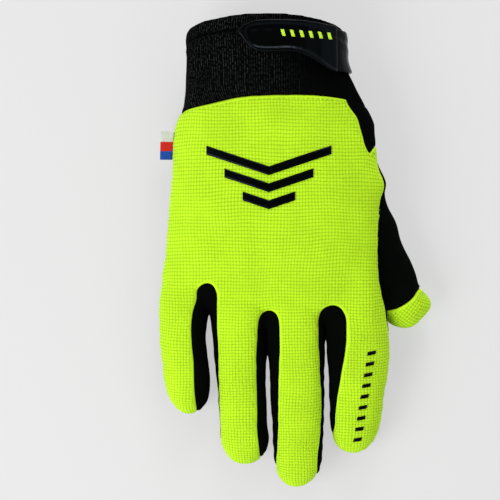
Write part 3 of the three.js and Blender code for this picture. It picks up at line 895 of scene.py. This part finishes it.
@functools.cache
def black_knit():
    """Ribbed knit, black between its ribs, with a painted highlight that turns the ribs grey."""
    material, tree, shader = new_material("black_knit", Roughness=0.85, Specular_IOR_Level=0.005)
    ribs = use_group(tree, knit_ribs(), on_cloth(tree), sizes().rib_pitch)
    grain = use_group(tree, cloth_grain(), in_place(tree), 0.3 * MM)
    worn = ramp(tree, grain["Clouds"], 0.35, 0.7, 0.5, 1)
    # Clouds of wear, times painted shade that darkens the ribs towards the right.
    across = split(tree, in_place(tree))[0]
    raised = product(tree, worn, ramp(tree, across, *RIB_SHADE))
    # Painted highlight: the ribs are painted grey, and the grooves between them stay black.
    shown = product(tree, ribs["Ribs"], raised)
    colour = blend(tree, shown, colours().black, colours().knit)
    # Painted shade in the seam's valley: the knit is painted darker within a millimetre of a seam.
    seam = ramp(tree, attribute(tree, SEAM_LAYER), 0, 1.0 * MM, 0.4, 1)
    paint(tree, shader, colour, seam)
    add_bump(tree, shader, ribs["Height"], 0.3 * MM)
    return material


@functools.cache
def black_rubber():
    """Glossy moulded rubber, dulled where handled, with a painted highlight on worn edges."""
    material, tree, shader, grain = grained(
        "black_rubber", 0.6 * MM, 0.06 * MM, (0.14, 0.28), Specular_IOR_Level=0.07,
        Specular_Tint=(0.5, 0.68, 1, 1), Coat_Weight=0.03, Coat_Roughness=0.1)
    # Sharp outward edges, such as the tab's bead, are painted lighter in clouds: partly wear and
    # partly a painted highlight.
    wear = ramp(tree, grain["Clouds"], *SWING, 0.4, 1)
    edge = product(tree, attribute(tree, EDGE_LAYER), wear)
    colour = blend(tree, product(tree, edge, 0.12), colours().black, colours().knit)
    tree.links.new(colour, shader.inputs["Base Color"])
    return material


@functools.cache
def lime_rubber():
    """Lime moulded marks."""
    material, tree, shader, grain = grained(
        "lime_rubber", 0.6 * MM, 0.05 * MM, (0.4, 0.6), Specular_IOR_Level=0.3)
    light = ramp(tree, grain["Fibres"], *SWING, 0.85, 1.05)
    paint(tree, shader, colours().lime, light)
    return material


@functools.cache
def woven_label():
    """Ribbon woven in three bands."""
    material, tree, shader = new_material("woven_label", Roughness=0.6, Specular_IOR_Level=0.25)
    low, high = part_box("side_label")
    place = in_place(tree)
    parts = split(tree, place)
    band = (high[1] - low[1]) / 3
    first, second = low[1] + band, low[1] + 2 * band
    colour = colours().label_blue
    for edge, next_colour in ((first, colours().label_red), (second, colours().label_white)):
        past = ramp(tree, parts[1], edge - BAND_BLUR, edge + BAND_BLUR)
        colour = blend(tree, past, colour, next_colour)
    weave = use_group(tree, grid_weave(), place, LABEL_WEAVE)
    light = calc(tree, "SUBTRACT", 1, product(tree, weave["Lines"], 0.3))
    paint(tree, shader, colour, light)
    add_bump(tree, shader, weave["Height"], 0.1 * MM)
    return material


@functools.cache
def thread(name, colour):
    """Twisted sewing thread."""
    material, tree, shader = new_material(name, Roughness=0.55, Specular_IOR_Level=0.05)
    grain = use_group(tree, cloth_grain(), in_place(tree), 0.2 * MM)
    light = ramp(tree, grain["Fibres"], *SWING, 0.7, 1.1)
    paint(tree, shader, colour, light)
    add_bump(tree, shader, grain["Fibres"], 0.08 * MM)
    return material


def unwrap(obj):
    for other in bpy.context.selected_objects:
        other.select_set(False)
    bpy.context.view_layer.objects.active = obj
    obj.select_set(True)
    bpy.ops.object.mode_set(mode="EDIT")
    bpy.ops.mesh.select_all(action="SELECT")
    bpy.ops.uv.unwrap(method="CONFORMAL", margin=0)
    bpy.ops.object.mode_set(mode="OBJECT")


def laid_flat(bm, turn=0.0):
    """Gives a panel its cloth map. Its level parts keep their place as seen from above, and its
    sides are laid out beside them."""
    bm.normal_update()
    layer = bm.loops.layers.uv.new(CLOTH_MAP)
    for face in bm.faces:
        for loop in face.loops:
            loop[layer].uv = loop.vert.co.xy
            loop[layer].pin_uv = loop.vert.normal.z > LEVEL
    obj = new_object("flat", mesh_of(bm, "flat"))
    unwrap(obj)
    bm.clear()
    bm.from_mesh(obj.data)
    bpy.data.objects.remove(obj)
    layer = bm.loops.layers.uv[CLOTH_MAP]
    side, ahead = math.cos(turn), math.sin(turn)
    for face in bm.faces:
        for loop in face.loops:
            x, y = loop[layer].uv
            x, y = x * side - y * ahead, x * ahead + y * side
            fingers = KNUCKLE_WIDTH * math.log1p(math.exp((KNUCKLES - y) / KNUCKLE_WIDTH))
            loop[layer].uv = (x, y * HAND_STRETCH - fingers * FINGER_SHRINK)


def wrapped_round(bm):
    """Gives the cuff its cloth map: the way round the wrist, and the way along the arm."""
    points = np.array([vert.co for vert in bm.verts])
    low, high = points.min(axis=0), points.max(axis=0)
    across = (points[:, 0] - (low[0] + high[0]) / 2) / (high[0] - low[0])
    above = (points[:, 2] - (low[2] + high[2]) / 2) / (high[2] - low[2])
    angles = np.arctan2(across, above)
    bins = ((angles + math.pi) / math.tau * RING_STEPS).astype(int) % RING_STEPS
    members = np.maximum(np.bincount(bins, minlength=RING_STEPS), 1)
    sums = [np.bincount(bins, points[:, axis], RING_STEPS) for axis in (0, 2)]
    ring = np.stack(sums, axis=1) / members[:, None]
    steps = np.linalg.norm(np.diff(ring, axis=0, append=ring[:1]), axis=1)
    way = np.concatenate([[0], np.cumsum(steps)])
    ribs = round(way[-1] / sizes().rib_pitch)
    way *= ribs * sizes().rib_pitch / way[-1]
    marks = np.linspace(-math.pi, math.pi, RING_STEPS + 1)
    rounds = np.interp(angles, marks, way)
    layer = bm.loops.layers.uv.new(CLOTH_MAP)
    for face in bm.faces:
        whole = [rounds[loop.vert.index] for loop in face.loops]
        crosses = max(whole) - min(whole) > way[-1] / 2
        for loop, place in zip(face.loops, whole):
            shift = way[-1] if crosses and place < way[-1] / 2 else 0
            loop[layer].uv = (place + shift, loop.vert.co.y)


def finish_trim(bm):
    """Marks how sharply each point of a trim bends outwards."""
    layer = bm.verts.layers.float.new(EDGE_LAYER)
    bm.normal_update()
    for vert in bm.verts:
        around = [edge.other_vert(vert).co for edge in vert.link_edges]
        middle = sum(around, Vector()) / len(around)
        vert[layer] = min(max((vert.co - middle).dot(vert.normal) / SHARP_BEND, 0), 1)


def add_panel(node, material, slot, add_map=None):
    """Adds one panel. add_map gives it the cloth map that its weave follows."""
    bm = skin().panel(node)
    if add_map:
        add_map(bm)
    if node not in OPEN_ENDS:
        add_inside(bm, node)
    finish_piece(f"{node}_cloth", mesh_of(bm, node), material, slot, node)


def add_trim(node, voxel, rounding, material, slot):
    bm = rounded_trim(node, voxel, rounding)
    finish_trim(bm)
    finish_piece(f"{node}_piece", mesh_of(bm, node), material, slot, node)


def crowded(share):
    """Moves a share of the way across towards its nearer end."""
    return 0.5 - 0.5 * math.cos(math.pi * share)


def add_mark(bm, place, tree, steps, lift):
    """Adds a raised mark draped on a surface. place gives the spot for shares across and along."""
    made = bmesh.ops.create_grid(bm, x_segments=steps[0], y_segments=steps[1], size=0.5)["verts"]
    for vert in made:
        across, along = crowded(vert.co.x + 0.5), crowded(vert.co.y + 0.5)
        spot = Vector((*place(across, along), MARK_SKY))
        ground = tree.ray_cast(spot, Vector((0, 0, -1)))[0]
        on_rim = min(across, 1 - across, along, 1 - along) < ON_RIM
        vert.co = ground + Vector((0, 0, MARK_RIM if on_rim else lift))


def leaning_bars(start, turn, size, pitch, count):
    """Spots of a row of slanted bars."""
    way = Vector((math.sin(turn), math.cos(turn)))
    side = Vector((way.y, -way.x))
    for i in range(count):
        middle = Vector(start) + way * pitch * i
        yield functools.partial(bar_spot, middle, way, side, size)


def bar_spot(middle, way, side, size, across, along):
    slant = (across - 0.5) * size[0]
    return middle + side * slant + way * ((along - 0.5) * size[1] + slant * MARK_LEAN)


def add_bars(name, row, ground, lift, material, slot):
    """Adds a row of raised slanted bars as one piece."""
    bm = bmesh.new()
    for place in leaning_bars(*row):
        add_mark(bm, place, ground, MARK_STEPS, lift)
    finish_piece(name, mesh_of(bm, name), material, slot)


class GLOVE_OT_back_panel(bpy.types.Operator):
    """Builds the lime back panel and the thumb's lime tip"""
    bl_idname = "glove.back_panel"
    bl_label = "Back panel and thumb tip"

    def execute(self, context):
        across_thumb = functools.partial(laid_flat, turn=THUMB_TURN)
        add_panel("back_panel", lime_fabric(), "lime_fabric", laid_flat)
        add_panel("thumb_tip", lime_fabric(), "lime_fabric", across_thumb)
        return {"FINISHED"}


class GLOVE_OT_palm(bpy.types.Operator):
    """Builds the suede palm and thumb"""
    bl_idname = "glove.palm"
    bl_label = "Palm and thumb"

    def execute(self, context):
        for node in ("palm_panel", "thumb_panel"):
            add_panel(node, black_suede(), "black_suede")
        return {"FINISHED"}


class GLOVE_OT_gussets(bpy.types.Operator):
    """Builds the stretch gussets between the fingers and at the wrist"""
    bl_idname = "glove.gussets"
    bl_label = "Gussets"

    def execute(self, context):
        for node in (*FINGER_GUSSETS, "wrist_gusset"):
            add_panel(node, black_stretch(), "black_stretch")
        return {"FINISHED"}


class GLOVE_OT_cuff(bpy.types.Operator):
    """Builds the ribbed cuff and its binding"""
    bl_idname = "glove.cuff"
    bl_label = "Cuff"

    def execute(self, context):
        for node in OPEN_ENDS:
            add_panel(node, black_knit(), "black_knit", wrapped_round)
        return {"FINISHED"}


class GLOVE_OT_strap(bpy.types.Operator):
    """Builds the closure strap and its moulded tab"""
    bl_idname = "glove.strap"
    bl_label = "Strap"

    def execute(self, context):
        for node in ("strap_band", "strap_tab"):
            add_trim(node, TRIM_VOXEL, TRIM_ROUNDING, black_rubber(), "black_rubber")
        depsgraph = context.evaluated_depsgraph_get()
        tab = BVHTree.FromObject(bpy.data.objects["strap_tab_piece"], depsgraph)
        add_bars("tab_marks", TAB_BARS, tab, TAB_MARK_LIFT, lime_rubber(), "lime_fabric")
        return {"FINISHED"}


class GLOVE_OT_print(bpy.types.Operator):
    """Builds the raised chevrons on the back of the hand and the marks on the index finger"""
    bl_idname = "glove.print"
    bl_label = "Raised print"

    def execute(self, context):
        ground = BVHTree.FromBMesh(skin().bm)
        for node in CHEVRONS:
            low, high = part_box(node)
            bm = bmesh.new()
            place = functools.partial(chevron_spot, low, high)
            add_mark(bm, place, ground, CHEVRON_STEPS, PRINT_LIFT)
            finish_piece(f"{node}_piece", mesh_of(bm, node), black_rubber(), "black_rubber", node)
        add_bars(
            "finger_marks", FINGER_BARS, ground, PRINT_LIFT, black_rubber(), "black_rubber")
        return {"FINISHED"}


def chevron_spot(low, high, across, along):
    """A spot on a chevron whose arms rise from the middle to both ends."""
    rise = high[1] - low[1] - CHEVRON_STROKE
    x = low[0] + across * (high[0] - low[0])
    return x, low[1] + rise * abs(2 * across - 1) + along * CHEVRON_STROKE


class GLOVE_OT_label(bpy.types.Operator):
    """Builds the woven label at the side seam"""
    bl_idname = "glove.label"
    bl_label = "Side label"

    def execute(self, context):
        add_trim("side_label", LABEL_VOXEL, LABEL_ROUNDING, woven_label(), "woven_label")
        return {"FINISHED"}


class GLOVE_OT_stitches(bpy.types.Operator):
    """Sews the stitches beside the seams"""
    bl_idname = "glove.stitches"
    bl_label = "Stitches"

    def execute(self, context):
        for name, slot, colour, rows in STITCHES:
            bm = bmesh.new()
            for node, neighbour, offset in rows:
                for path in skin().seam_path(node, neighbour, offset):
                    sew(bm, path)
            finish_piece(name, mesh_of(bm, name), thread(name, colour), slot)
        return {"FINISHED"}


def sew(bm, path):
    """Adds stitches along a path of places and normals."""
    way = np.concatenate([[0], np.cumsum(np.linalg.norm(np.diff(path[:, :3], axis=0), axis=1))])
    count = int(way[-1] / sizes().stitch_pitch)
    if count < FEWEST_STITCHES:
        return
    middles = (np.arange(count) + 0.5) * way[-1] / count
    at, before, after = (
        np.stack([np.interp(middles + shift, way, column) for column in path.T], axis=1)
        for shift in (0, -STITCH_SPAN, STITCH_SPAN)
    )
    for here, back, front in zip(at, before, after):
        if here[2] < STITCH_LOWEST:
            continue
        along = Vector(front[:3] - back[:3]).normalized()
        up = Vector(here[3:]).normalized()
        side = along.cross(up).normalized()
        up = side.cross(along)
        turn = Matrix((along, side, up)).transposed().to_4x4()
        middle = Matrix.Translation(Vector(here[:3]) + up * STITCH_LIFT)
        place = middle @ turn @ Matrix.Diagonal((*STITCH, 1))
        u, v = STITCH_SIDES
        bmesh.ops.create_uvsphere(bm, u_segments=u, v_segments=v, radius=1, matrix=place)


class GLOVE_OT_stage(bpy.types.Operator):
    """Builds the floor, the lights and the camera"""
    bl_idname = "glove.stage"
    bl_label = "Stage"

    def execute(self, context):
        scene = context.scene
        bm = bmesh.new()
        bmesh.ops.create_grid(bm, x_segments=1, y_segments=1, size=FLOOR_SIZE)
        bmesh.ops.translate(bm, verts=bm.verts, vec=(0, 0, -FLOOR_DROP))
        floor = new_object("floor", mesh_of(bm, "floor"))
        floor.data.materials.append(pale_floor())
        scene.world = studio_world()
        scene.view_settings.view_transform = "Standard"
        for light in LIGHTS:
            add_light(scene, *light)
        add_camera(scene)
        return {"FINISHED"}


def pale_floor():
    """Pale paper that glows a little, so that shadows on it stay faint."""
    material, _, shader = new_material("pale_floor", Roughness=0.9, Specular_IOR_Level=0.1)
    shader.inputs["Base Color"].default_value = (*FLOOR_COLOUR, 1)
    shader.inputs["Emission Color"].default_value = (1, 1, 1, 1)
    shader.inputs["Emission Strength"].default_value = FLOOR_GLOW
    return material


def studio_world():
    """Even light from all round, weaker from straight above."""
    world = bpy.data.worlds.new("studio")
    world.use_nodes = True
    tree = world.node_tree
    way = add_node(tree, "TexCoord").outputs["Generated"]
    height = split(tree, way)[2]
    light = ramp(tree, height, *WORLD_FADE, WORLD_SIDES, WORLD_TOP)
    tree.links.new(light, tree.nodes["Background"].inputs["Strength"])
    tree.nodes["Background"].inputs["Color"].default_value = (1, 1, 1, 1)
    return world


def add_light(scene, name, place, size, energy):
    light = bpy.data.lights.new(name, "AREA")
    light.size = size
    light.energy = energy
    obj = bpy.data.objects.new(name, light)
    obj.location = place
    obj.rotation_euler = (-obj.location).to_track_quat("-Z", "Y").to_euler()
    scene.collection.objects.link(obj)


def add_camera(scene):
    lens = bpy.data.cameras.new("camera")
    lens.lens = LENS / MM
    lens.sensor_width = SENSOR / MM
    camera = bpy.data.objects.new("camera", lens)
    distance = PHOTO_SIDE * LENS / SENSOR
    half = PHOTO_PIXELS / 2
    middle = ((half - GLOVE_MIDDLE[0]) * PHOTO_PIXEL, (GLOVE_MIDDLE[1] - half) * PHOTO_PIXEL)
    camera.location = (*middle, SCALE_HEIGHT + distance)
    scene.collection.objects.link(camera)
    scene.camera = camera


class GLOVE_PT_panel(bpy.types.Panel):
    """Lists the glove's sizes, colours and pieces"""
    bl_idname = "GLOVE_PT_panel"
    bl_label = "Motocross glove"
    bl_space_type = "VIEW_3D"
    bl_region_type = "UI"
    bl_category = "Glove"

    def draw(self, context):
        for settings in (context.scene.glove_sizes, context.scene.glove_colours):
            for name in settings.bl_rna.properties.keys():
                if name not in ("rna_type", "name"):
                    self.layout.prop(settings, name)
        for operator in OPERATORS:
            self.layout.operator(operator.bl_idname)


OPERATORS = (
    GLOVE_OT_stage, GLOVE_OT_back_panel, GLOVE_OT_palm, GLOVE_OT_gussets, GLOVE_OT_cuff,
    GLOVE_OT_strap, GLOVE_OT_print, GLOVE_OT_label, GLOVE_OT_stitches,
)
CLASSES = (GloveSizes, GloveColours, *OPERATORS, GLOVE_PT_panel)


def register():
    for cls in CLASSES:
        bpy.utils.register_class(cls)
    bpy.types.Scene.glove_sizes = PointerProperty(type=GloveSizes)
    bpy.types.Scene.glove_colours = PointerProperty(type=GloveColours)


def unregister():
    del bpy.types.Scene.glove_colours
    del bpy.types.Scene.glove_sizes
    for cls in reversed(CLASSES):
        bpy.utils.unregister_class(cls)


def main():
    register()
    for operator in OPERATORS:
        getattr(bpy.ops.glove, operator.bl_idname.split(".")[1])()


if __name__ == "__main__":
    main()
